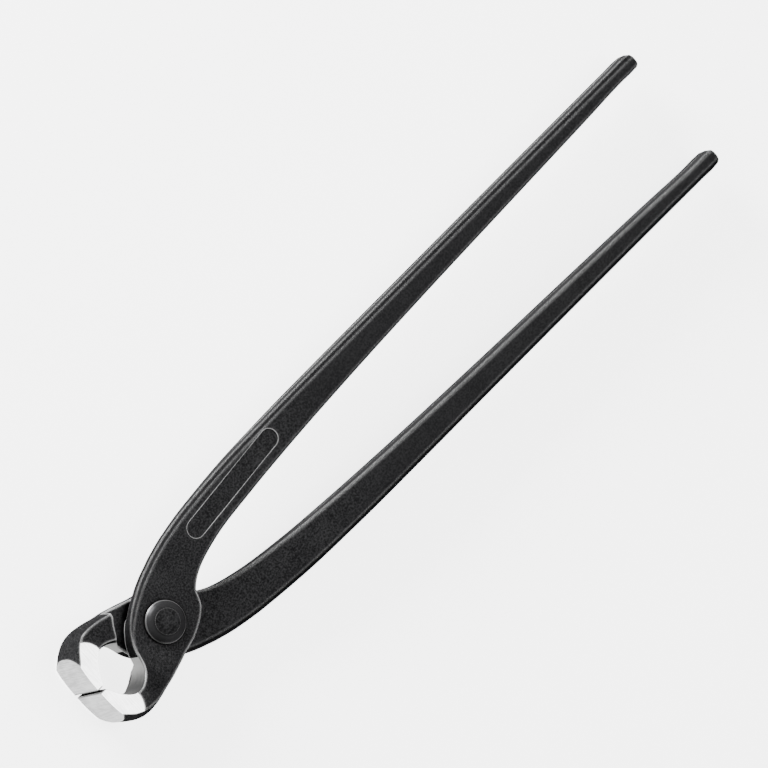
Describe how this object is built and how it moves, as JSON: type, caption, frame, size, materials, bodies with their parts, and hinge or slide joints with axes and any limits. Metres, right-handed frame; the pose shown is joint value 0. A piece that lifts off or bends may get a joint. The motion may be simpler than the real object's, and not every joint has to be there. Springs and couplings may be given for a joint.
{
  "type": "rebar tying pliers",
  "caption": "Long-handled end nippers for tying and cutting reinforcing wire: crossed forged levers in a lap joint, one rivet, wide hollow-ground jaws.",
  "frame": {"origin": "centre of the flat on the rivet's back head, on the pivot axis", "axes": "+X towards the handle ends along the line midway between the handles, +Z along the pivot axis towards the front head of the rivet"},
  "size_m": [0.2803, 0.0458, 0.0214],
  "materials": {
    "front_lever_steel": "matte black oxide, with ground bright jaws",
    "rear_lever_steel": "matte black oxide, with ground bright jaws",
    "pivot_rivet_steel": "matte black oxide"
  },
  "bodies": {
    "rear_lever": {"rear_lever": "rear_lever_steel", "pivot_rivet": "pivot_rivet_steel"},
    "front_lever": {"front_lever": "front_lever_steel"}
  },
  "joints": [
    {"name": "pivot", "type": "hinge", "parent": "rear_lever", "child": "front_lever", "pos_m": [0, 0, 0.0087], "axis": [0, 0, 1], "range_deg": [-1.8, 25]}
  ]
}
